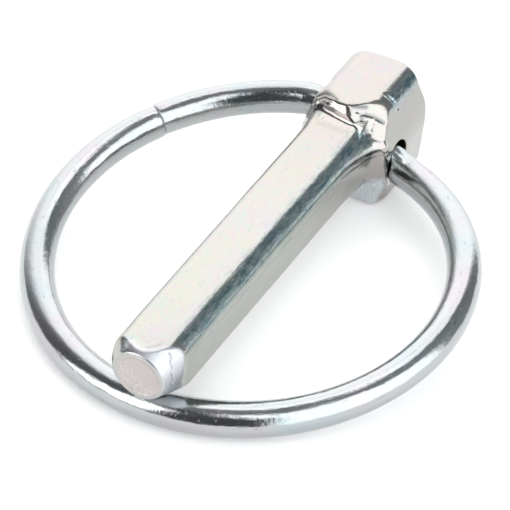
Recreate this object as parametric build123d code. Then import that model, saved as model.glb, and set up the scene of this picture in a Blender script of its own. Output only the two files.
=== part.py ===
from build123d import *
import math
import os

# Lynch pin: a drop-forged pin with a bulky head, and a round-wire ring that swings in the head's
# slanted cross hole and closes over the pin's tip. Millimetres, +Z up, lying as it comes to rest:
# the head's foot and the near side of the ring on the floor.
#
# The pin is drawn in its own axes first: X along the shank from tip to head, Z up, the shank's
# centre line at y = 0, z = 0 and the tip's end face at x = 0. Everything is then shifted so that
# the origin is the middle of the footprint, on the floor.

# ---- driving dimensions -------------------------------------------------------------------------
SHANK_W = 7.5            # across the side flats, at the parting line
SHANK_H = 7.2            # across the top and bottom flats
SHANK_R = (2.1, 1.6, 0.7)  # corner radii of the near-square shank: top -Y, top +Y, and below
PART_Z = 1.25            # height of the forging's parting line on the shank
DRAFT = (1.5, 3.5)       # draft of the side flats above and below that line, degrees
TIP_DROP = 0.30          # the top flat is this much lower at the tip,
TIP_DROP_X = 11.0        # and full height from here on
TIP_R = 3.08             # half width of the turned end face
TIP_GROW = (0.307, 0.86) # growth of the tip's turned cone on the -Y and +Y sides: it sits askew
TIP_EDGE = 0.24          # rounding of the end face's rim
DISH = (2.56, 2.20, 0.13)  # shallow dish in the end face: outer and inner radius, depth

HEAD_X0 = 46.0           # head's front shoulder
HEAD_X1 = 57.6           # head's back face
HEAD_TOP = 6.0           # head's top face above the shank's centre line
HEAD_TOP_HW = 4.1        # half width at the top face
HEAD_HW = (6.2, 6.1)     # half width at the widest place, -Y side and +Y side
HEAD_MID_Z = ((0.2, -2.4), (-0.5, -0.5))  # from and to which height it is that wide
HEAD_FOOT_HW = 5.6       # half width at the foot
HEAD_TOP_R = 1.5         # rounding of the top's long edges
HEAD_FOOT_R = 1.2        # rounding of the foot's long edges
HEAD_END_R = 1.0         # rounding of the back face's edges
HEAD_FRONT_R = 0.5       # rounding of the shoulder's edges
NECK_R = 1.2             # fillet where the shank runs into the head
FLARE_X = (38.5, 43.0, 46.4)  # the shank's -Y side flares out into the head: places along it,
FLARE_Y = (3.55, 4.15, 5.15)  # and its half width there
CUT_RIGHT = ((48.35, -2.75, 6.0), (-0.496, -0.557, 0.667))  # slanted facets on the head's top
CUT_LEFT = ((46.9, 1.9, 6.0), (-0.62, 0.58, 0.53))          # front corners: a point, the normal

WIRE_D = 4.0             # ring wire
RING_R = 24.0            # ring centre line radius, so 44 mm inside and 52 mm outside
SEAM_DEG = 60.0          # place of the butt seam on the ring
SEAM_GAP = 0.10          # gap between the two ends of the wire

BORE_R = 2.5             # radius of the head's cross hole
BORE_C = (49.475, -0.65, 0.11)   # middle of the hole
BORE_TILT = 25.2         # slant of the hole, low on the -Y side, high on the +Y side
MOUTH_S = (5.9, 5.5)     # distance from the hole's middle where it starts to flare, -Y and +Y
MOUTH_DEG = (24.0, 29.0) # half angles of the flared mouths

AXIS_H = 7.86            # height of the shank's centre line above the floor
MID_X = 28.80            # middle of the footprint, in the pin's own axes
MID_Y = 0.977

# ---- ring centre line ---------------------------------------------------------------------------
# A circle that is sprung out of its plane: the wire leaves the head low on one side and high on the
# other. psi = 0 is in the middle of the head, psi > 0 is the +Y side.
RING_C = Vector(25.99, 1.02, -2.605)
RING_U = Vector(0.98775, -0.07848, 0.13485)
RING_V = Vector(0.08997, 0.99262, -0.08132)
RING_N = Vector(-0.12747, 0.09246, 0.98752)
SPRING = (5.288, -2.018, 0.157, -1.599, 1.0195)
CROSS = math.radians(17.0)       # half angle of the gentle S inside the head


def lift_free(psi):
    s = 1.0 if psi > 0 else -1.0
    q = 1.0 - abs(psi) / math.pi
    a, b, c, d, e = SPRING
    return s * (a * q + b * q ** 3 + c * q ** 6) + d * q ** 2 + e * q ** 5


def lift(psi):
    if abs(psi) >= CROSS:
        return lift_free(psi)
    h = 2.0 * CROSS
    d = 1e-4
    t = (psi + CROSS) / h
    w0, w1 = lift_free(-CROSS), lift_free(CROSS)
    m0 = (lift_free(-CROSS + d) - lift_free(-CROSS - d)) / (2 * d) * h
    m1 = (lift_free(CROSS + d) - lift_free(CROSS - d)) / (2 * d) * h
    return ((2 * t ** 3 - 3 * t ** 2 + 1) * w0 + (t ** 3 - 2 * t ** 2 + t) * m0
            + (-2 * t ** 3 + 3 * t ** 2) * w1 + (t ** 3 - t ** 2) * m1)


def ring_at(deg):
    p = math.radians((deg + 180.0) % 360.0 - 180.0)
    return (RING_C + RING_U * (RING_R * math.cos(p)) + RING_V * (RING_R * math.sin(p))
            + RING_N * lift(p))


def ring_dir(deg):
    return (ring_at(deg - 0.02) - ring_at(deg + 0.02)).normalized()


def arc_mid(a, q, b):
    """Middle of the arc from a to b whose end tangents meet at q."""
    al = (q - a).length
    m = (a + b) * 0.5
    qm = (m - q).length
    half = math.asin(min(1.0, qm / al))
    if half < 1e-5:
        return m
    r = al / math.tan(half)
    return q + (m - q).normalized() * (r * (1.0 / math.cos(half) - 1.0))


def biarc(p0, t0, p1, t1):
    """Two tangent arcs from p0 to p1."""
    v = p1 - p0
    tt = t0 + t1
    ca = 2.0 * (1.0 - t0.dot(t1))
    cb = 2.0 * v.dot(tt)
    cc = -v.dot(v)
    if abs(ca) < 1e-9:
        al = -cc / cb
    else:
        al = (-cb + math.sqrt(cb * cb - 4 * ca * cc)) / (2 * ca)
    q0, q1 = p0 + t0 * al, p1 - t1 * al
    j = (q0 + q1) * 0.5
    return [ThreePointArc(p0, arc_mid(p0, q0, j), j), ThreePointArc(j, arc_mid(j, q1, p1), p1)]


def make_ring():
    g = math.degrees(SEAM_GAP / RING_R) / 2
    stops = [SEAM_DEG - g, 44, 30, 20, 12, 4, -4, -12, -20, -30, -45, -65, -85, -105, -125, -145,
             -165, -185, -205, -225, -245, -265, -285, -(360 - SEAM_DEG) + g]
    edges = []
    for a, b in zip(stops[:-1], stops[1:]):
        edges += biarc(ring_at(a), ring_dir(a), ring_at(b), ring_dir(b))
    path = Wire([e for e in edges])
    start = Plane(origin=ring_at(stops[0]), z_dir=ring_dir(stops[0]))
    ring = sweep(start * Circle(WIRE_D / 2), path=path)
    print("ring path", round(path.length, 3), "volume", round(ring.volume, 2),
          "section x length", round(math.pi * (WIRE_D / 2) ** 2 * path.length, 2))
    return ring


# ---- pin ----------------------------------------------------------------------------------------
def half_space(at, normal, size=30.0):
    """A big block that fills the outer side of a plane."""
    return Plane(origin=at, z_dir=normal) * Box(size, size, size, align=(Align.CENTER, Align.CENTER, Align.MIN))


def make_shank():
    hw, hh, end = SHANK_W / 2, SHANK_H / 2, HEAD_X0 + 4.0
    up, dn = (math.tan(math.radians(a)) for a in DRAFT)
    top_hw, low_hw = hw - (hh - PART_Z) * up, hw - (hh + PART_Z) * dn
    outline = Polyline((-top_hw, hh), (top_hw, hh), (hw, PART_Z), (low_hw, -hh), (-low_hw, -hh),
                       (-hw, PART_Z), close=True)
    shank = extrude(Plane.YZ * make_face(outline), end)
    for radius, pick in zip(SHANK_R, (lambda c: c.Z > 0 and c.Y < 0, lambda c: c.Z > 0 and c.Y > 0, lambda c: c.Z < 0)):
        corners = shank.edges().filter_by(Axis.X).filter_by(lambda e: abs(e.center().Z) > hh - 0.05)
        shank = fillet(corners.filter_by(lambda e: pick(e.center())), radius)
    wedge = Polyline((-1, hh - TIP_DROP), (TIP_DROP_X, hh), (TIP_DROP_X, hh + 2), (-1, hh + 2), close=True)
    shank = shank - extrude(Plane.XZ * make_face(wedge), 10, both=True)

    # turned tip: a cone through the end face's rim, askew so that it is slim on one side only
    r, l = TIP_GROW
    ax = -2 * TIP_R / (r + l)
    apex = Vector(ax, -TIP_R - r * ax, 0)
    a0, a1 = math.atan(r), math.atan(l)
    half, tilt = (a0 + a1) / 2, (a1 - a0) / 2
    reach = 20.0
    cone = Plane(origin=apex, z_dir=(math.cos(tilt), math.sin(tilt), 0)) * Cone(
        0, reach * math.tan(half), reach, align=(Align.CENTER, Align.CENTER, Align.MIN))
    block = Pos(4.0, 0, 0) * Box(10.0, 20.0, 20.0)
    shank = shank - (block - cone)
    rim = shank.faces().sort_by(Axis.X)[0].edges()
    shank = fillet(rim, TIP_EDGE)
    r0, r1, deep = DISH
    shank = shank - Plane.YZ.offset(-0.2) * Cone(r0 + 0.2 * (r0 - r1) / deep, r1, deep + 0.2,
                                                 align=(Align.CENTER, Align.CENTER, Align.MIN))
    return shank


def make_head():
    foot = -AXIS_H
    (rz0, rz1), (lz, _) = HEAD_MID_Z
    outline = Polyline((-HEAD_TOP_HW, HEAD_TOP), (HEAD_TOP_HW, HEAD_TOP), (HEAD_HW[1], lz),
                       (HEAD_FOOT_HW, foot), (-HEAD_FOOT_HW, foot), (-HEAD_HW[0], rz1),
                       (-HEAD_HW[0], rz0), close=True)
    head = extrude(Plane.YZ.offset(HEAD_X0) * make_face(outline), HEAD_X1 - HEAD_X0)
    long_edges = head.edges().filter_by(Axis.X)
    head = fillet(long_edges.filter_by(lambda e: e.center().Z > HEAD_TOP - 0.1), HEAD_TOP_R)
    long_edges = head.edges().filter_by(Axis.X)
    head = fillet(long_edges.filter_by(lambda e: e.center().Z < foot + 0.1), HEAD_FOOT_R)
    head = fillet(head.faces().sort_by(Axis.X)[-1].edges(), HEAD_END_R)
    head = fillet(head.faces().sort_by(Axis.X)[0].edges(), HEAD_FRONT_R)
    return head


def make_flare():
    """Metal that widens the shank on its -Y side, from its own width to nearly the head's."""
    rings = []
    for x, y in zip(FLARE_X, FLARE_Y):
        rings.append(Plane.YZ.offset(x) * make_face(Polyline(
            (-2.6, 2.3), (-3.5, 2.3), (-y, 0.6), (-y, -1.5), (-3.3, -3.2), (-2.6, -3.2), close=True)))
    return loft(rings, ruled=True)


def make_pin():
    shank, head = make_shank(), make_head()
    pin = shank + head
    neck = [e for e in pin.edges() if abs(e.center().X - HEAD_X0) < 0.05
            and abs(e.center().Y) < SHANK_W / 2 + 0.05 and abs(e.center().Z) < SHANK_H / 2 + 0.05]
    pin = fillet(neck, NECK_R)
    # the facets stop at the shank, which runs on into the head
    pin = pin - half_space(*CUT_RIGHT) - half_space(*CUT_LEFT) + shank + make_flare()

    hole = Location(BORE_C, (BORE_TILT - 90.0, 0, 0))
    flare = 5.0
    wide = [BORE_R + flare * math.tan(math.radians(a)) for a in MOUTH_DEG]
    bore = hole * (Pos(0, 0, (MOUTH_S[1] - MOUTH_S[0]) / 2) * Cylinder(BORE_R, sum(MOUTH_S) + 0.2)
                   + Pos(0, 0, MOUTH_S[1] + flare / 2) * Cone(BORE_R, wide[1], flare)
                   + Pos(0, 0, -MOUTH_S[0] - flare / 2) * Cone(wide[0], BORE_R, flare))
    return pin - bore


place = Location((-MID_X, -MID_Y, AXIS_H))
parts = {"pin": make_pin(), "ring": make_ring()}
os.makedirs("parts", exist_ok=True)
for name, solid in parts.items():
    solid = place * solid
    export_step(solid, "parts/" + name + ".step")
    bb = solid.bounding_box()
    print(name, "volume", round(solid.volume, 1), "solids", len(solid.solids()),
          [round(c, 3) for c in (bb.min.X, bb.min.Y, bb.min.Z, bb.max.X, bb.max.Y, bb.max.Z)])
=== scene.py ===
"""A lynch pin: a forged, zinc plated steel pin with a square shank, and a sprung wire ring through its head.

Shapes are worked out in millimetres in the pin's own frame, X along the shank from the tip to the head,
Y to the left and Z up, with the tip's end face at x = 0 and the shank's centre line at y = z = 0.
SHIFT takes that to the row frame, and the meshes are then in metres.
"""

import math

import bpy  # noqa: E402
import numpy as np  # noqa: E402
from mathutils import Matrix, Vector  # noqa: E402


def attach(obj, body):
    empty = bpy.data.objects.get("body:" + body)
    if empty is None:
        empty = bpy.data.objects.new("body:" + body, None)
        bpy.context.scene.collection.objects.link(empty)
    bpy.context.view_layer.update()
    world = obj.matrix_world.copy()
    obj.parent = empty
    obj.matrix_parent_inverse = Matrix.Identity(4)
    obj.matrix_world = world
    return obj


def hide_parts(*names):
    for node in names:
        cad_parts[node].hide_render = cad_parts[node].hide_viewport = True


SHIFT = np.array((-28.80, -0.977, 7.86))

# ---------------------------------------------------------------- the pin's shape

SHANK_HW, SHANK_HH = 3.75, 3.60
SHANK_R = (2.1, 1.6, 0.7)  # corners: top right, top left, and below
PART_Z = 1.25  # height of the forging's parting line
TIP_R, TIP_GROW = 3.08, (0.307, 0.86)  # the turned tip is slim on the right and blunt on the left
HEAD_X0, HEAD_X1 = 46.0, 57.6
HEAD_TOP, HEAD_FOOT = 6.0, -7.86
BORE_C = np.array((49.475, -0.65, 0.11))
BORE_TILT = math.radians(25.2)
BORE_A = np.array((0.0, math.cos(BORE_TILT), math.sin(BORE_TILT)))
BORE_R = 2.5
MOUTH_S, MOUTH_T = (5.9, 5.5), (math.tan(math.radians(24)), math.tan(math.radians(29)))


def rmax(a, b, r):
    """Intersection of two distance fields, with its outer edge rounded."""
    u, v = np.maximum(a + r, 0), np.maximum(b + r, 0)
    return np.minimum(np.maximum(a, b), -r) + np.sqrt(u * u + v * v)


def rmin(a, b, r):
    """Union of two distance fields, with its inner corner filleted."""
    u, v = np.maximum(r - a, 0), np.maximum(r - b, 0)
    return np.maximum(np.minimum(a, b), r) - np.sqrt(u * u + v * v)


def plane(p, at, normal):
    n = np.array(normal, float)
    n /= np.linalg.norm(n)
    return (p - np.array(at, float)) @ n


def step(a, b, x):
    t = np.clip((x - a) / (b - a), 0, 1)
    return t * t * (3 - 2 * t)


def waves(p, size, seed, n=9):
    """A smooth random field of about unit height, with features of the given size."""
    rng = np.random.default_rng(seed)
    k = rng.normal(size=(n, 3))
    k *= (2 * math.pi / size * rng.uniform(0.6, 1.4, n) / np.linalg.norm(k, axis=1))[:, None]
    ph = rng.uniform(0, 2 * math.pi, n)
    out = np.zeros(len(p))
    for i in range(n):
        out += np.sin(p @ k[i] + ph[i])
    return out / math.sqrt(n / 2)


def near_line(p, pts):
    """Distance from a run of points."""
    best = np.full(len(p), 1e9)
    pts = np.array(pts, float)
    for a, b in zip(pts[:-1], pts[1:]):
        ab = b - a
        t = np.clip(((p - a) @ ab) / (ab @ ab), 0, 1)
        best = np.minimum(best, np.linalg.norm(p - a - t[:, None] * ab, axis=1))
    return best


def bell(d, w):
    return np.exp(-((d / w) ** 2))


def shank_field(p):
    x, y, z = p.T
    a_up, a_dn = math.radians(1.5), math.radians(3.5)
    fat = 0.006 * np.clip(x - 12.0, 0, 34)  # thicker towards the head
    rise = 0.42 * np.clip((x - 42.8) / 2.6, 0, 1.2) ** 2 * step(3.4, 2.4, -y)
    top = z - SHANK_HH - fat - rise + 0.30 * (1 - step(-1.0, 11.0, x))  # a little lower towards the tip
    # metal squeezed out to the right just behind the tip
    dx = x - 2.85
    ear = bell(dx / np.where(dx > 0, 0.55, 1.6), 1.0) * bell((z - 0.2) / 1.9, 1.0)
    swell = np.clip((x - 38.5) / 7.5, 0, 1.05) ** 2.4 * step(48.0, 46.4, x) * step(3.5, 1.8, z) * (0.35 + 0.65 * step(-3.8, -1.5, z))
    sides = []
    for s, grow in ((-1, 0.22 * ear + 1.35 * swell), (1, 0.7 * swell)):
        out = s * y - SHANK_HW - grow - 0.8 * fat
        up = out * math.cos(a_up) + (z - PART_Z) * math.sin(a_up)
        dn = out * math.cos(a_dn) - (z - PART_Z) * math.sin(a_dn)
        sides.append(rmax(up, dn, 0.2))
    d = rmax(top, sides[0], SHANK_R[0])
    d = rmax(d, sides[1], SHANK_R[1])
    return rmax(d, -z - SHANK_HH - fat, SHANK_R[2])


def tip_cone(p):
    """The turned cone, through the end face's rim and askew."""
    a, b = TIP_GROW
    x0 = -2 * TIP_R / (a + b)
    half, tilt = (math.atan(b) + math.atan(a)) / 2, (math.atan(b) - math.atan(a)) / 2
    q = p - np.array((x0, -TIP_R - a * x0, 0.0))
    axis = np.array((math.cos(tilt), math.sin(tilt), 0.0))
    s = q @ axis
    r = np.linalg.norm(q - s[:, None] * axis, axis=1)
    return r * math.cos(half) - s * math.sin(half)


def tip_field(p, d):
    x, y, z = p.T
    r = np.hypot(y, z)
    d = rmax(d, tip_cone(p), 0.12)
    end = -x + 0.13 * (1 - step(2.2, 2.56, r))
    return rmax(d, end, 0.24)


def head_field(p):
    x, y, z = p.T
    ru = plane(p, (0, -4.1, 6.0), (0, -5.8, 2.1))
    rl = plane(p, (0, -6.2, -2.4), (0, -5.46, -0.6))
    lu = plane(p, (0, 4.1, 6.0), (0, 6.5, 2.0))
    ll = plane(p, (0, 6.1, -0.5), (0, 7.36, -0.6))
    d = rmax(z - HEAD_TOP, rmax(rmax(ru, -y - 6.2, 0.9), rl, 0.9), 1.7)
    d = rmax(d, rmax(lu, ll, 0.9), 1.9)
    d = rmax(d, -z + HEAD_FOOT, 1.4)
    d = rmax(d, x - HEAD_X1 + 0.03 * y * y * step(1.0, 5.5, z), 0.55 + 0.5 * step(2.0, -2.0, z))
    # front: a face that hangs over the shank a little, with a chamfer along its top that sweeps back to the right
    low = 45.74 + 0.14 * np.clip(y, -3.0, 2.5)
    wall = HEAD_X0 + step(1.0, 3.2, z) * (low - HEAD_X0) - 0.23 * np.clip(z - 3.7, 0, 1.7) - x
    edge = 0.9 * (0.80 * (45.84 + 0.30 * np.clip(-1.1 - y, 0, 2.5) ** 2 - x) + 0.60 * (z - 5.50) + 0.015 * waves(p, 2.0, 3))
    front = rmax(wall, edge, 0.22)
    # cut back at its top left and top right corners
    front = rmax(front, plane(p, (48.35, -2.75, 6.0), (-0.496, -0.557, 0.667)), 0.45)
    front = rmax(front, plane(p, (46.75, 2.05, 6.0), (-0.648, 0.464, 0.60)), 0.25)
    turn = 0.30 + 1.2 * step(-4.5, -6.5, z) + 0.9 * step(4.0, 5.6, -y) * step(0.6, -0.8, z)
    d = rmax(d, front, turn)
    return rmax(d, plane(p, (45.6, 4.3, 1.5), (-0.62, 0.75, 0.20)), 0.60)


def bore_field(p):
    q = p - BORE_C
    s = q @ BORE_A
    r = np.linalg.norm(q - s[:, None] * BORE_A, axis=1)
    d = r - BORE_R
    for side, start, tan in ((-1, MOUTH_S[0], MOUTH_T[0]), (1, MOUTH_S[1], MOUTH_T[1])):
        d = np.minimum(d, (r - BORE_R - tan * np.maximum(side * s - start, 0)) * math.cos(math.atan(tan)))
    return d


def pin_field(p, fine=True):
    d = tip_field(p, shank_field(p))
    # the shank ends inside the head
    d = rmax(d, p[:, 0] - 52.0, 0.3)
    y = p[:, 1]
    z = p[:, 2]
    blend = 0.5 + 1.3 * step(2.4, 4.2, -y) * step(2.8, 1.0, z) * step(-4.6, -3.0, z) + 0.4 * step(2.6, 4.4, y)
    d = rmin(d, head_field(p), blend)
    # a narrow ramp of metal along the foot of the neck
    toe = np.maximum(plane(p, (45.60, 0.0, 4.22), (-0.79, 0.134, 0.60)), np.maximum(np.abs(z - 3.7) - 0.72, np.abs(y + 0.7) - 2.4))
    toe = np.maximum(toe, p[:, 0] - 47.0)
    d = rmin(d, toe, 0.12)
    if fine:
        d = d - pin_detail(p)
    return rmax(d, -bore_field(p), 0.12)


# runs of points on the pin, read off the photo with the fitted camera
ARCH = ((45.86, 3.54, 3.41), (46.30, 3.78, 4.06), (46.70, 3.59, 4.75), (46.73, 2.76, 5.43), (46.24, 1.36, 5.84))
HOLLOW = ((46.00, 3.20, 4.05), (46.10, 3.00, 4.56), (45.82, 2.07, 4.74), (45.65, 1.20, 4.83))
FOLD = ((46.49, -1.06, 5.75), (46.86, -1.66, 5.68), (47.38, -2.31, 5.59))
FOLD2 = ((46.38, -1.53, 5.36), (46.90, -2.58, 4.95), (47.47, -3.48, 4.51), (47.81, -4.63, 3.98))
WEDGE = ((47.45, 3.0, 5.72), (47.1, 2.35, 5.85), (46.8, 1.7, 5.92), (46.5, 1.05, 5.95))
RIDGE2 = ((46.48, -2.44, 4.69), (46.89, -3.17, 4.36), (47.16, -3.99, 3.85), (47.05, -4.46, 3.45))
LOW = ((46.43, -2.20, 4.86), (46.05, -2.64, 4.11), (45.84, -3.39, 3.23))
SPLIT = ((46.91, -4.54, 3.28), (46.38, -4.18, 3.04), (45.79, -3.85, 2.71))
CRACK = ((2.13, -2.52, 2.92), (2.04, -2.88, 2.45), (1.63, -2.95, 2.11), (1.62, -3.25, 1.54), (1.23, -3.31, 1.03), (1.35, -3.49, 0.17), (1.06, -3.37, -0.52))
PALE = ((0.96, 1.79, 3.21), (0.66, 1.00, 3.26), (0.43, 0.26, 3.23), (0.41, -0.24, 3.21))
NOTCH = ((50.55, -3.40, 5.75), (50.75, -4.34, 4.96), (51.03, -4.80, 4.08))
NICK_TOP = ((1.39, -0.37, 3.33), (1.88, -0.92, 3.34), (2.44, -1.31, 3.36))
NICK_TOP2 = ((1.75, 0.10, 3.35), (2.3, -0.5, 3.36), (2.75, -0.95, 3.38))
NICK_LEFT = ((0.45, 2.03, 2.65), (0.87, 2.04, 3.02), (1.42, 1.95, 3.33))
SCORE = ((45.94, -4.73, -2.31), (46.00, -5.34, -2.93))


def pin_detail(p):
    """Small raised (+) and sunk (-) marks of the forging, in millimetres."""
    x, y, z = p.T
    out = 0.010 * waves(p, 8.0, 1) + 0.003 * waves(p, 2.6, 2) - 0.02
    # folds in the facet right of the neck
    out -= 0.05 * bell(near_line(p, FOLD), 0.40)
    out -= 0.10 * bell(near_line(p, FOLD2), 0.28)
    out += 0.05 * bell(near_line(p, RIDGE2), 0.24)
    out += 0.05 * bell(near_line(p, SPLIT), 0.16) - 0.08 * bell(near_line(p, LOW), 0.26)
    # a bead of metal pressed up at the neck's left, and the hollow under it
    out += 0.18 * bell(near_line(p, ARCH), 0.24)
    out -= 0.12 * bell(near_line(p, HOLLOW), 0.40)
    # parting line along both sides
    ramp = step(2.5, 5.0, x) * (1 - step(46.0, 50.0, x))
    pz = PART_Z - 0.25 * step(36, 46, x) + 0.04 * np.sin(x * 1.3) + 0.03 * np.sin(x * 2.9 + 1.0)
    out -= 0.09 * ramp * bell(z - pz, 0.14) * step(2.6, 3.2, np.abs(y)) * (0.7 + 0.3 * np.sin(x * 0.9) * np.sin(x * 0.37 + 1))
    # nicks near the tip
    out -= 0.07 * bell(near_line(p, NICK_LEFT), 0.20) * (1 + 0.5 * waves(p, 0.7, 9))
    out -= 0.05 * bell(near_line(p, NICK_TOP), 0.22) + 0.03 * bell(near_line(p, NICK_TOP2), 0.16)
    out -= 0.10 * bell(near_line(p, CRACK), 0.07)
    # rough, un-struck metal on the front of the head below the shank
    rough = step(-2.4, -3.6, z) * (1 - step(46.6, 47.4, x)) * step(44.5, 45.5, x)
    out += rough * (0.04 * bell(waves(p, 1.7, 5), 0.30) + 0.03 * bell(waves(p, 1.1, 6), 0.25) - 0.03)
    out -= 0.10 * bell(near_line(p, SCORE), 0.12)
    # end face, rougher at the lower left
    end = (1 - step(0.35, 0.7, x)) * (1 - step(2.2, 2.5, np.hypot(y, z)))
    out += end * 0.022 * waves(p, 0.8, 7) * step(0.8, -1.4, z - 0.6 * y)
    # wear along the head's top right edge
    edge = bell(near_line(p, ((50.6, -3.9, 5.6), (52.4, -4.2, 5.2), (54.0, -4.2, 5.2))), 0.7)
    out += edge * (0.014 * waves(p, 0.8, 8) - 0.02)
    out -= 0.16 * bell(near_line(p, NOTCH), 0.26)
    return out


def pin_marks(p):
    """Where the plate is whiter and less bright, partly as painted light, where it is pinker, where it is dark as
    painted shade, and the uneven corners, which also carry painted glints and a painted dark band.
    """
    x, y, z = p.T
    r = np.hypot(y, z)
    side = bell(tip_cone(p), 0.14) * (1 - step(3.2, 3.9, x)) * step(-0.4, 1.2, -y)
    face = (1 - step(0.15, 0.3, x)) * (1 - step(2.45, 2.6, r))
    # painted shade: these marks darken the crack, the nicks, the hollow, the groove and the folds where shade falls,
    # and paint a dark reflection along the wedge at the head's top left
    dark = 0.8 * bell(near_line(p, CRACK), 0.08) + 0.35 * bell(near_line(p, NICK_TOP), 0.20) + 0.15 * bell(near_line(p, NICK_LEFT), 0.16)
    dark = dark + bell(near_line(p, HOLLOW), 0.45) + 0.9 * bell(near_line(p, LOW), 0.26)
    dark = dark + 0.85 * bell(near_line(p, FOLD2[1:]), 0.20) + bell(near_line(p, FOLD), 0.28)
    dark = dark + bell(near_line(p, WEDGE), 0.14 + 0.10 * np.clip(y, 0, 3))
    corner = np.hypot(np.abs(y) - 3.3, z - 3.1)
    # rubbed corners, the rough lower left of the end face, a nick and the lump below the neck; in the material this
    # mask also carries painted glints, painted highlights and a painted dark band
    wear_and_sheen = bell(corner, 1.1) * step(3.0, 5.0, x) * (1 - step(45.0, 46.0, x)) * step(0.5, 1.5, -y)
    wear_and_sheen = wear_and_sheen + bell(np.hypot(y + 4.3, z - 5.2), 1.1) * step(49.5, 50.5, x)
    wear_and_sheen = wear_and_sheen + face * step(0.8, -1.4, z - 0.6 * y) + 0.8 * bell(near_line(p, NICK_LEFT), 0.5)
    lump = step(-2.4, -3.6, z) * (1 - step(46.4, 46.9, x)) * step(44.5, 45.5, x)
    wear_and_sheen = wear_and_sheen + lump
    # painted light: the white marks lighten the tip's cone, a pale patch at the end and the lump below the neck, where
    # the plate would otherwise show darker reflections; the material also makes them rougher
    return [np.clip(v, 0, 1) for v in (side + lump + bell(near_line(p, PALE), 0.62), face, dark, wear_and_sheen)]


def gradient(f, p, h):
    g = np.empty_like(p)
    for a in range(3):
        e = np.zeros(3)
        e[a] = h
        g[:, a] = (f(p + e) - f(p - e)) / (2 * h)
    return g


def in_runs(f, p, size=200000):
    return np.concatenate([f(p[i : i + size]) for i in range(0, len(p), size)])


def dual_mesh(v, xs, ys, zs):
    """Quads on the zero surface of a field sampled at the crossings of a grid: one vertex to a cell."""
    nx, ny, nz = v.shape
    ins = v < 0
    count = np.zeros((nx - 1, ny - 1, nz - 1), np.int8)
    for i in (0, 1):
        for j in (0, 1):
            for k in (0, 1):
                count += ins[i : nx - 1 + i, j : ny - 1 + j, k : nz - 1 + k]
    live = (count > 0) & (count < 8)
    index = np.full(live.shape, -1, np.int64)
    index[live] = np.arange(live.sum())
    ci, cj, ck = np.nonzero(live)
    grid = (xs, ys, zs)
    total, hits = np.zeros((len(ci), 3)), np.zeros(len(ci))
    for axis in range(3):
        for a in (0, 1):
            for b in (0, 1):
                lo = [0, 0, 0]
                o1, o2 = [c for c in range(3) if c != axis]
                lo[o1], lo[o2] = a, b
                hi = list(lo)
                hi[axis] = 1
                fa = v[ci + lo[0], cj + lo[1], ck + lo[2]]
                fb = v[ci + hi[0], cj + hi[1], ck + hi[2]]
                m = (fa < 0) != (fb < 0)
                t = np.where(m, fa / np.where(m, fa - fb, 1), 0)
                pa = np.stack([grid[c][(ci, cj, ck)[c] + lo[c]] for c in range(3)], 1)
                pb = np.stack([grid[c][(ci, cj, ck)[c] + hi[c]] for c in range(3)], 1)
                total += np.where(m[:, None], pa + (pb - pa) * t[:, None], 0)
                hits += m
    verts = total / hits[:, None]
    quads = []
    for axis in range(3):
        o1, o2 = (axis + 1) % 3, (axis + 2) % 3
        lo = [slice(None)] * 3
        hi = [slice(None)] * 3
        lo[axis], hi[axis] = slice(0, -1), slice(1, None)
        a, b = ins[tuple(lo)], ins[tuple(hi)]
        at = np.stack(np.nonzero(a != b), 1)
        out = a[tuple(at.T)]
        ring = []
        for d1, d2 in ((-1, -1), (0, -1), (0, 0), (-1, 0)):
            c = at.copy()
            c[:, o1] += d1
            c[:, o2] += d2
            ring.append(index[tuple(c.T)])
        q = np.stack(ring, 1)
        q[~out] = q[~out][:, ::-1]
        quads.append(q)
    return verts, np.concatenate(quads)


def pin_mesh():
    fine = 0.145
    xs = np.concatenate(
        [
            np.arange(-0.29, 5.0, fine),
            np.arange(5.1, 43.5, 0.45),
            np.arange(43.6, 58.0, fine),
        ]
    )
    ys = np.arange(-6.38, 6.39, fine)
    zs = np.arange(-8.15, 6.40, fine)
    g = np.stack(np.meshgrid(xs, ys, zs, indexing="ij"), -1).reshape(-1, 3)
    v = in_runs(lambda q: pin_field(q, False), g).reshape(len(xs), len(ys), len(zs))
    p, quads = dual_mesh(v, xs, ys, zs)
    for _ in range(6):
        d = pin_field(p)
        n = gradient(pin_field, p, 0.01)
        p = p - np.clip(d, -0.1, 0.1)[:, None] * n / np.maximum((n * n).sum(1), 0.25)[:, None]
    p = np.clip(p, (0.0, -6.2, HEAD_FOOT), (HEAD_X1, 6.1, HEAD_TOP))
    n = gradient(pin_field, p, 0.02)
    n /= np.linalg.norm(n, axis=1)[:, None]
    return p, quads, n


def put_values(mesh, name, values):
    mesh.attributes.new(name, "FLOAT", "POINT").data.foreach_set("value", values.astype(np.float32))


# ---------------------------------------------------------------- the ring's shape

WIRE_R, RING_R = 2.0, 24.0
RING_C = np.array((25.99, 1.02, -2.605))
RING_U = np.array((0.98775, -0.07848, 0.13485))
RING_V = np.array((0.08997, 0.99262, -0.08132))
RING_N = np.array((-0.12747, 0.09246, 0.98752))
SPRING = (5.288, -2.018, 0.157, -1.599, 1.0195)
CROSS = math.radians(17)
SEAM = math.radians(60)


def lift_free(psi):
    s = np.where(psi > 0, 1.0, -1.0)
    q = 1 - np.abs(psi) / math.pi
    a, b, c, d, e = SPRING
    return s * (a * q + b * q**3 + c * q**6) + d * q**2 + e * q**5


def lift(psi):
    h = 1e-5
    ends = np.array((-CROSS, CROSS))
    v = lift_free(ends)
    m = (lift_free(ends + h) - lift_free(ends - h)) / (2 * h) * 2 * CROSS
    t = np.clip((psi + CROSS) / (2 * CROSS), 0, 1)
    inner = (
        (2 * t**3 - 3 * t**2 + 1) * v[0]
        + (t**3 - 2 * t**2 + t) * m[0]
        + (-2 * t**3 + 3 * t**2) * v[1]
        + (t**3 - t**2) * m[1]
    )
    return np.where(np.abs(psi) >= CROSS, lift_free(psi), inner)


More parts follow.
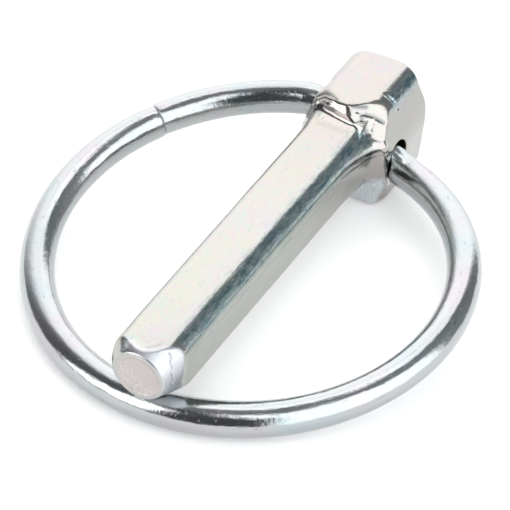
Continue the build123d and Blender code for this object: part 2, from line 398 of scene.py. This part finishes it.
def ring_at(psi):
    psi = (psi + math.pi) % (2 * math.pi) - math.pi
    c, s = np.cos(psi)[:, None], np.sin(psi)[:, None]
    return RING_C + RING_R * (c * RING_U + s * RING_V) + lift(psi)[:, None] * RING_N


def ring_mesh():
    """A swept wire whose two ends butt at the seam, one end a little out of line with the other."""
    rows, cols = 1040, 72
    near = np.concatenate([np.arange(0.0, 0.36, 0.03), np.arange(0.4, 1.6, 0.09)])
    near = np.concatenate([-near[:0:-1], near]) / RING_R
    far = np.linspace(near[-1], 2 * math.pi + near[0], rows + 2)[1:-1]
    off = np.concatenate([near, far])
    off = np.sort(np.where(off < near[0] - 1e-9, off + 2 * math.pi, off))
    psi = SEAM + off
    c = ring_at(psi)
    h = 1e-4
    t = ring_at(psi + h) - ring_at(psi - h)
    t /= np.linalg.norm(t, axis=1)[:, None]
    wrapped = (psi + math.pi) % (2 * math.pi) - math.pi
    out = np.cos(wrapped)[:, None] * RING_U + np.sin(wrapped)[:, None] * RING_V
    e1 = out - (out * t).sum(1)[:, None] * t
    e1 /= np.linalg.norm(e1, axis=1)[:, None]
    e2 = np.cross(t, e1)
    s = (np.where(off > math.pi, off - 2 * math.pi, off)) * RING_R  # millimetres from the seam
    th = np.arange(cols) / cols * 2 * math.pi
    gap = 0.16 * np.exp(-((s / 0.075) ** 2)) + 0.05 * np.exp(-((s / 0.45) ** 2))
    slip = np.tanh(s / 0.05) * np.exp(-np.abs(s) / 3.0)
    r = (WIRE_R - 0.012 - gap)[:, None] * np.ones(cols)
    # drawn wire: very slight flats and lengthwise unevenness
    r = r + 0.004 * np.sin(3 * th + 0.6)[None, :] + 0.004 * np.sin(2 * th - np.linspace(0, 9, len(psi))[:, None])
    centre = c + 0.05 * slip[:, None] * e2 - 0.035 * slip[:, None] * e1
    p = centre[:, None, :] + r[:, :, None] * (
        np.cos(th)[None, :, None] * e1[:, None, :] + np.sin(th)[None, :, None] * e2[:, None, :]
    )
    n, m = len(psi), cols
    i, j = np.meshgrid(np.arange(n), np.arange(m), indexing="ij")
    i2, j2 = (i + 1) % n, (j + 1) % m
    quads = np.stack([i * m + j, i2 * m + j, i2 * m + j2, i * m + j2], -1).reshape(-1, 4)
    # which way the quads face: outward from the wire's centre line
    a, b, d = p[0, 0], p[1, 0], p[0, 1]
    if np.cross(b - a, d - a) @ (a - centre[0]) < 0:
        quads = quads[:, ::-1]
    length = np.concatenate([[0], np.cumsum(np.linalg.norm(np.diff(c, axis=0), axis=1))])
    return p.reshape(-1, 3), quads, length, th, n, m


# ---------------------------------------------------------------- meshes to objects


def make_object(name, p, quads, normals=None):
    mesh = bpy.data.meshes.new(name)
    mesh.from_pydata(((p + SHIFT) / 1000.0).tolist(), [], quads.tolist())
    mesh.polygons.foreach_set("use_smooth", np.ones(len(mesh.polygons), bool))
    mesh.update()
    if normals is not None:
        mesh.normals_split_custom_set_from_vertices(normals.tolist())
    obj = bpy.data.objects.new(name, mesh)
    bpy.context.scene.collection.objects.link(obj)
    return obj


# ---------------------------------------------------------------- materials


class Nodes:
    """Short hand for building a node tree."""

    def __init__(self, tree):
        self.tree = tree
        tree.nodes.clear()

    def add(self, kind, **inputs):
        node = self.tree.nodes.new(kind)
        for key, value in inputs.items():
            self.put(node, key, value)
        return node

    def put(self, node, key, value):
        socket = node.inputs[int(key[1:])] if key[0] == "i" and key[1:].isdigit() else node.inputs[key.replace("_", " ")]
        if hasattr(value, "is_output") and value.is_output:
            self.tree.links.new(value, socket)
        else:
            socket.default_value = value

    def math(self, op, a, b=0.0, c=0.0, clamp=False):
        node = self.tree.nodes.new("ShaderNodeMath")
        node.operation, node.use_clamp = op, clamp
        for i, value in enumerate((a, b, c)):
            self.put(node, f"i{i}", value)
        return node.outputs[0]

    def ramp(self, fac, stops, mode="EASE"):
        node = self.tree.nodes.new("ShaderNodeValToRGB")
        node.color_ramp.interpolation = mode
        els = node.color_ramp.elements
        while len(els) < len(stops):
            els.new(0.5)
        for el, (at, colour) in zip(els, stops):
            el.position = at
            el.color = (*colour, 1.0) if len(colour) == 3 else colour
        self.put(node, "Fac", fac)
        return node.outputs["Color"]

    def noise(self, vector, scale, detail=2.0, rough=0.5, distort=0.0):
        node = self.tree.nodes.new("ShaderNodeTexNoise")
        self.put(node, "Vector", vector)
        for key, value in (("Scale", scale), ("Detail", detail), ("Roughness", rough), ("Distortion", distort)):
            node.inputs[key].default_value = value
        return node.outputs["Fac"]

    def mix(self, fac, a, b, mode="MIX"):
        node = self.tree.nodes.new("ShaderNodeMix")
        node.data_type, node.blend_type = "RGBA", mode
        self.put(node, "i0", fac)
        for index, value in ((6, a), (7, b)):
            if not (hasattr(value, "is_output") and value.is_output) and len(value) == 3:
                value = (*value, 1.0)
            self.put(node, f"i{index}", value)
        return node.outputs[2]

    def dot(self, vector, fixed):
        node = self.tree.nodes.new("ShaderNodeVectorMath")
        node.operation = "DOT_PRODUCT"
        self.tree.links.new(vector, node.inputs[0])
        node.inputs[1].default_value = fixed
        return node.outputs["Value"]

    def smooth(self, value, a, b):
        node = self.tree.nodes.new("ShaderNodeMapRange")
        node.interpolation_type = "SMOOTHSTEP"
        self.put(node, "Value", value)
        node.inputs["From Min"].default_value, node.inputs["From Max"].default_value = a, b
        return node.outputs["Result"]

    def window(self, value, rise, fall):
        """1 between the rise and the fall, with soft edges."""
        down = self.math("SUBTRACT", 1.0, self.smooth(value, *fall))
        return self.math("MULTIPLY", self.smooth(value, *rise), down)

    def scaled(self, vector, scale):
        node = self.tree.nodes.new("ShaderNodeMapping")
        self.put(node, "Vector", vector)
        node.inputs["Scale"].default_value = scale
        return node.outputs["Vector"]


def zinc(name, wire):
    """Bright zinc plate: faint pink, straw and green drift, orange peel, fine scratches and pits; on the pin also
    painted shade, painted highlights and glints, and a darker tint painted on the faces turned to the right.
    """
    mat = bpy.data.materials.new(name)
    mat.use_nodes = True
    k = Nodes(mat.node_tree)
    if wire:
        uv = k.add("ShaderNodeUVMap")
        uv.uv_map = "wire"
        flat = uv.outputs["UV"]
    space = k.add("ShaderNodeTexCoord").outputs["Object"]
    mm = k.scaled(space, (1000.0, 1000.0, 1000.0))

    drift = k.noise(mm, 0.16, 2.0, 0.5, 0.6)
    drift2 = k.noise(mm, 0.55, 3.0, 0.55, 0.4)
    if wire:
        tint = k.ramp(drift, ((0.30, (0.440, 0.492, 0.522)), (0.50, (0.484, 0.498, 0.506)), (0.70, (0.506, 0.472, 0.508))))
        tint = k.mix(k.math("MULTIPLY", drift2, 0.35), tint, (0.456, 0.500, 0.492))
        streak = k.noise(k.scaled(flat, (0.55, 1.9, 1.0)), 1.0, 4.0, 0.72)
        tint = k.mix(k.math("MULTIPLY", k.smooth(streak, 0.40, 0.30), 0.45), tint, (0.20, 0.19, 0.17))
    else:
        tint = k.ramp(
            drift,
            (
                (0.28, (0.486, 0.512, 0.472)),
                (0.44, (0.526, 0.504, 0.444)),
                (0.56, (0.522, 0.496, 0.474)),
                (0.72, (0.514, 0.468, 0.506)),
            ),
        )
        tint = k.mix(k.math("MULTIPLY", drift2, 0.30), tint, (0.500, 0.506, 0.488))
        fleck = k.noise(mm, 1.7, 3.0, 0.6)
        tint = k.mix(k.math("MULTIPLY", k.smooth(fleck, 0.50, 0.66), 0.8), tint, (0.526, 0.466, 0.486))
        tint = k.mix(k.math("MULTIPLY", k.smooth(fleck, 0.50, 0.34), 0.8), tint, (0.466, 0.506, 0.478))
        marks = {}
        for key in ("white", "pink", "dark", "wear_and_sheen", "side", "blush"):
            node = k.add("ShaderNodeAttribute")
            node.attribute_name = key
            marks[key] = node.outputs["Fac"]
        tint = k.mix(marks["blush"], tint, (0.995, 0.955, 0.975), "MULTIPLY")
        # painted shade: a darker, greener tint on faces turned to the right, towards -y, so that side reads darker
        tint = k.mix(marks["side"], tint, (0.862, 0.908, 0.885), "MULTIPLY")
        # painted light: lightens the white marks, brighter and bluer still where they are also rubbed
        tint = k.mix(k.math("MULTIPLY", marks["white"], 0.85), tint, (0.655, 0.665, 0.715))
        tint = k.mix(k.math("MULTIPLY", k.math("MULTIPLY", marks["white"], marks["wear_and_sheen"]), 0.6), tint, (0.74, 0.81, 0.83))
        tint = k.mix(k.math("MULTIPLY", marks["pink"], 0.8), tint, (0.60, 0.53, 0.52))
        # painted shade and a painted dark reflection, from the dark marks
        tint = k.mix(k.math("MULTIPLY", marks["dark"], 0.75), tint, (0.10, 0.10, 0.11))
        streak = k.noise(k.scaled(mm, (0.55, 2.2, 2.2)), 1.0, 4.0, 0.72)
        # bright specks on the rubbed areas: partly rubbed plate, partly painted glints
        speck = k.math("MULTIPLY", k.smooth(streak, 0.55, 0.66), marks["wear_and_sheen"])
        tint = k.mix(k.math("MULTIPLY", speck, 0.36), tint, (0.70, 0.74, 0.77))
        # painted dark reflection: dark bluish streaks and a bluer tint along the rubbed corners, standing in for the
        # dark band reflected there as well as bare rubbed plate
        bare_and_dark_band = k.math("SUBTRACT", marks["wear_and_sheen"], k.math("MAXIMUM", marks["white"], marks["pink"]), clamp=True)
        tint = k.mix(k.math("MULTIPLY", k.math("MULTIPLY", k.smooth(streak, 0.53, 0.40), bare_and_dark_band), 0.80), tint, (0.13, 0.235, 0.265))
        tint = k.mix(bare_and_dark_band, tint, (0.86, 1.05, 1.12), "MULTIPLY")
        # painted highlights: thin white curling lines on the lump and the pale tip areas, along ridges that the bump
        # also raises
        curl = k.math("ABSOLUTE", k.math("SUBTRACT", k.noise(mm, 1.25, 2.0, 0.5, 1.2), 0.5))
        curl = k.math("MULTIPLY", k.smooth(curl, 0.035, 0.012), k.math("MULTIPLY", marks["white"], marks["wear_and_sheen"]))
        tint = k.mix(k.math("MULTIPLY", curl, 0.9), tint, (1.0, 1.0, 1.0))
        # painted glints: fine white sparkle and sheen on the lower left of the end face
        painted_glint = k.math("MULTIPLY", k.math("MULTIPLY", k.smooth(k.noise(mm, 4.6, 3.0, 0.7), 0.52, 0.66), marks["pink"]), marks["wear_and_sheen"])
        tint = k.mix(k.math("MULTIPLY", painted_glint, 0.60), tint, (1.0, 1.0, 1.0))
    # specks and pits
    pits = k.noise(mm, 2.4, 2.0, 0.6)
    pit = k.ramp(pits, ((0.66, (0, 0, 0)), (0.74, (1, 1, 1))))
    tint = k.mix(k.math("MULTIPLY", pit, 0.22), tint, (0.34, 0.35, 0.34))

    # scratches along the piece
    if wire:
        lines = k.noise(k.scaled(flat, (0.10, 5.5, 1.0)), 1.0, 3.0, 0.6)
    else:
        lines = k.noise(k.scaled(mm, (0.22, 4.0, 4.0)), 1.0, 3.0, 0.6)
    scratch = k.ramp(lines, ((0.62, (0, 0, 0)), (0.72, (1, 1, 1))))

    rough = k.math("MULTIPLY_ADD", drift2, 0.10, 0.08 if wire else 0.10)
    rough = k.math("MULTIPLY_ADD", scratch, 0.06, rough)
    rough = k.math("MULTIPLY_ADD", pit, 0.10, rough)
    if not wire:
        rough = k.math("MULTIPLY_ADD", k.math("MAXIMUM", marks["white"], marks["pink"]), 0.26, rough)
        rough = k.math("MULTIPLY_ADD", speck, 0.08, rough)

    peel = k.noise(mm, 2.2, 3.0, 0.6)
    if wire:
        swell = k.noise(k.scaled(flat, (0.22, 0.9, 1.0)), 1.0, 3.0, 0.55)
    else:
        swell = k.noise(k.scaled(mm, (0.5, 1.0, 1.0)), 0.7, 2.0, 0.5)
    height = k.math("MULTIPLY_ADD", peel, 0.016 if wire else 0.018, k.math("MULTIPLY", swell, 0.050 if wire else 0.030))
    grit = k.noise(mm, 4.5, 3.0, 0.65)
    if wire:
        height = k.math("MULTIPLY_ADD", grit, 0.009, height)
    else:
        height = k.math("MULTIPLY_ADD", k.math("MULTIPLY", grit, marks["wear_and_sheen"]), 0.032, height)
        height = k.math("MULTIPLY_ADD", curl, 0.05, height)
    height = k.math("MULTIPLY_ADD", scratch, -0.0025, height)
    height = k.math("MULTIPLY_ADD", pit, -0.010, height)
    bump = k.add("ShaderNodeBump", Height=height)
    bump.inputs["Strength"].default_value = 1.0
    bump.inputs["Distance"].default_value = 0.001  # heights above are in millimetres

    tint = k.mix(1.0, tint, (0.88, 0.88, 0.88) if wire else (0.815, 0.82, 0.82), "MULTIPLY")
    shader = k.add("ShaderNodeBsdfPrincipled", Base_Color=tint, Roughness=rough, Normal=bump.outputs["Normal"])
    shader.inputs["Metallic"].default_value = 1.0
    out = k.add("ShaderNodeOutputMaterial")
    k.tree.links.new(shader.outputs["BSDF"], out.inputs["Surface"])
    return mat


def plain(name, colour, rough, glow):
    mat = bpy.data.materials.new(name)
    mat.use_nodes = True
    k = Nodes(mat.node_tree)
    shader = k.add("ShaderNodeBsdfPrincipled")
    shader.inputs["Base Color"].default_value = (*colour, 1.0)
    shader.inputs["Roughness"].default_value = rough
    shader.inputs["Specular IOR Level"].default_value = 0.0
    shader.inputs["Emission Color"].default_value = (1.0, 1.0, 1.0, 1.0)
    shader.inputs["Emission Strength"].default_value = glow
    out = k.add("ShaderNodeOutputMaterial")
    k.tree.links.new(shader.outputs["BSDF"], out.inputs["Surface"])
    return mat


# ---------------------------------------------------------------- studio

VIEW_SIDE = (-0.886, -0.463, 0.0)  # level direction from the object to where the photo was taken
VIEW_RIGHT = (0.463, -0.886, 0.0)


def studio():
    """Two big white panels in a dim room, one behind the object and one to the photographer's right, and a soft light above."""
    world = bpy.data.worlds.new("studio")
    bpy.context.scene.world = world
    world.use_nodes = True
    k = Nodes(world.node_tree)
    d = k.add("ShaderNodeTexCoord").outputs["Generated"]
    z = k.add("ShaderNodeSeparateXYZ", Vector=d).outputs["Z"]
    c, s = k.dot(d, VIEW_SIDE), k.dot(d, VIEW_RIGHT)
    deg = 180 / math.pi
    az = k.math("MULTIPLY", k.math("ARCTAN2", s, c), deg)  # 0 towards the photographer, 90 to their right
    far = k.math("MULTIPLY", k.math("ARCTAN2", k.math("MULTIPLY", s, -1.0), k.math("MULTIPLY", c, -1.0)), deg)
    el = k.math("MULTIPLY", k.math("ARCSINE", z), deg)

    # both panels reach further round at their tops
    rise = k.math("MAXIMUM", k.math("SUBTRACT", el, 40.0), 0.0)
    side = k.window(k.math("MULTIPLY_ADD", rise, 1.5, az), (3, 13), (86, 95))
    side = k.math("MULTIPLY", side, k.window(el, (-14, -6), (64, 76)))
    rise = k.math("MAXIMUM", k.math("SUBTRACT", el, 52.0), 0.0)
    lean = k.math("MULTIPLY_ADD", rise, 1.5, k.math("MULTIPLY_ADD", el, -0.15, far))
    back = k.math("MULTIPLY", k.smooth(lean, -47, -39), k.math("SUBTRACT", 1.0, k.smooth(far, 22, 66)))
    back = k.math("MULTIPLY", back, k.window(el, (-14, -6), (68, 80)))

    room = k.ramp(
        k.math("MULTIPLY_ADD", az, 1 / 360, 0.5),
        (
            (0.08, (0.36, 0.36, 0.36)),
            (0.24, (0.125, 0.13, 0.14)),
            (0.40, (0.075, 0.082, 0.092)),
            (0.52, (0.080, 0.088, 0.098)),
            (0.76, (0.32, 0.35, 0.365)),
            (0.86, (0.22, 0.245, 0.255)),
            (0.94, (0.28, 0.29, 0.29)),
        ),
        "LINEAR",
    )
    high = k.window(el, (58, 78), (200, 201))
    colour = k.mix(high, room, (0.28, 0.285, 0.29))
    colour = k.mix(side, colour, (1.93, 2.00, 2.02))
    sheet = k.ramp(
        k.math("MULTIPLY_ADD", el, 1 / 90, 0.0, True),
        ((0.05, (1.48, 1.48, 1.50)), (0.30, (1.76, 1.76, 1.75)), (0.50, (1.76, 1.76, 1.75)), (0.59, (1.52, 1.52, 1.52)), (0.70, (2.0, 2.0, 2.0))),
    )
    colour = k.mix(back, colour, sheet)
    slant = k.math("MULTIPLY_ADD", el, -0.6, az)
    left = k.math("MULTIPLY", k.smooth(slant, -98, -88), k.math("SUBTRACT", 1.0, k.smooth(az, -48, -40)))
    left = k.math("MULTIPLY", left, k.window(el, (2, 10), (43, 50)))
    colour = k.mix(left, colour, (2.9, 2.9, 2.9))
    light = k.add("ShaderNodeBackground", Color=colour, Strength=1.21)
    out = k.add("ShaderNodeOutputWorld")
    k.tree.links.new(light.outputs["Background"], out.inputs["Surface"])

    # fills the floor from above, and stays out of the metal's reflections
    lamp = bpy.data.lights.new("overhead", "AREA")
    lamp.shape, lamp.size, lamp.energy = "DISK", 2.2, 8.2
    obj = bpy.data.objects.new("overhead", lamp)
    obj.location = (0.0, 0.0, 1.0)
    obj.visible_glossy = False
    obj.visible_camera = False
    bpy.context.scene.collection.objects.link(obj)


def floor():
    mesh = bpy.data.meshes.new("floor")
    n, r, z = 96, 1.6, -0.00003
    ring = [(r * math.cos(2 * math.pi * i / n), r * math.sin(2 * math.pi * i / n), z) for i in range(n)]
    mesh.from_pydata(ring, [], [list(range(n))])
    obj = bpy.data.objects.new("floor", mesh)
    bpy.context.scene.collection.objects.link(obj)
    mesh.materials.append(plain("floor_white", (0.77, 0.77, 0.77), 1.0, 0.22))


def camera():
    right = np.array((0.4846, -0.8742, 0.0303))
    up = np.array((0.5574, 0.3354, 0.7595))
    ahead = np.array((0.6741, 0.3512, -0.6498))
    ahead = ahead * 2255.3 + right * 5.33 - up * 2.44
    ahead /= np.linalg.norm(ahead)
    up = up - (up @ ahead) * ahead
    up /= np.linalg.norm(up)
    right = np.cross(ahead, up)
    cam = bpy.data.cameras.new("camera")
    cam.sensor_width = 36.0
    cam.lens = 36.0 * 2255.3 / 510.0
    cam.clip_start, cam.clip_end = 0.01, 20.0
    obj = bpy.data.objects.new("camera", cam)
    bpy.context.scene.collection.objects.link(obj)
    m = Matrix.Identity(4)
    for i in range(3):
        m[i][0], m[i][1], m[i][2] = right[i], up[i], -ahead[i]
    m.translation = Vector((-0.17425, -0.08927, 0.17065))
    obj.matrix_world = m
    bpy.context.scene.camera = obj


# ---------------------------------------------------------------- the scene

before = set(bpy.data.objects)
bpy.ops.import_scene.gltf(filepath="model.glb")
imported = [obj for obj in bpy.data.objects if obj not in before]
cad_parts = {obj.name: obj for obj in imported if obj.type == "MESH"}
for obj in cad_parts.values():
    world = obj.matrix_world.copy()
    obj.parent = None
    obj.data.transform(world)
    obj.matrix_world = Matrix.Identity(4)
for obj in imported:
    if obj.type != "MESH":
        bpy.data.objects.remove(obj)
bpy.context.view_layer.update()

scene = bpy.context.scene
scene.view_settings.view_transform = "Standard"
scene.view_settings.look = "None"

points, faces, normals = pin_mesh()
pin = make_object("pin_forged", points, faces, normals)
for key, values in zip(("white", "pink", "dark", "wear_and_sheen"), pin_marks(points)):
    put_values(pin.data, key, values)
# painted shade mask: faces whose normal points towards -y get a darker tint in the material
put_values(pin.data, "side", step(0.80, 0.97, -normals[:, 1]))
put_values(pin.data, "blush", step(24.0, 44.0, points[:, 0]))
pin.data.materials.append(zinc("forged_zinc", False))
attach(pin, "pin")
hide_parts("pin")

points, faces, length, turn, n_rows, n_cols = ring_mesh()
ring = make_object("ring_wire", points, faces)
layer = ring.data.uv_layers.new(name="wire")
loops = np.empty(len(ring.data.loops), np.int32)
ring.data.loops.foreach_get("vertex_index", loops)
row, col = loops // n_cols, loops % n_cols
quad_row = row.reshape(-1, 4)
quad_col = col.reshape(-1, 4)
wrap_r = (quad_row.max(1) - quad_row.min(1)) > 1
wrap_c = (quad_col.max(1) - quad_col.min(1)) > 1
u = length[quad_row] + np.where(wrap_r[:, None] & (quad_row == 0), length[-1] + 0.03, 0.0)
v = WIRE_R * (turn[quad_col] + np.where(wrap_c[:, None] & (quad_col == 0), 2 * math.pi, 0.0))
layer.data.foreach_set("uv", np.stack([u, v], -1).astype(np.float32).ravel())
ring.data.materials.append(zinc("wire_zinc", True))
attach(ring, "ring")
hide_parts("ring")

floor()
studio()
camera()
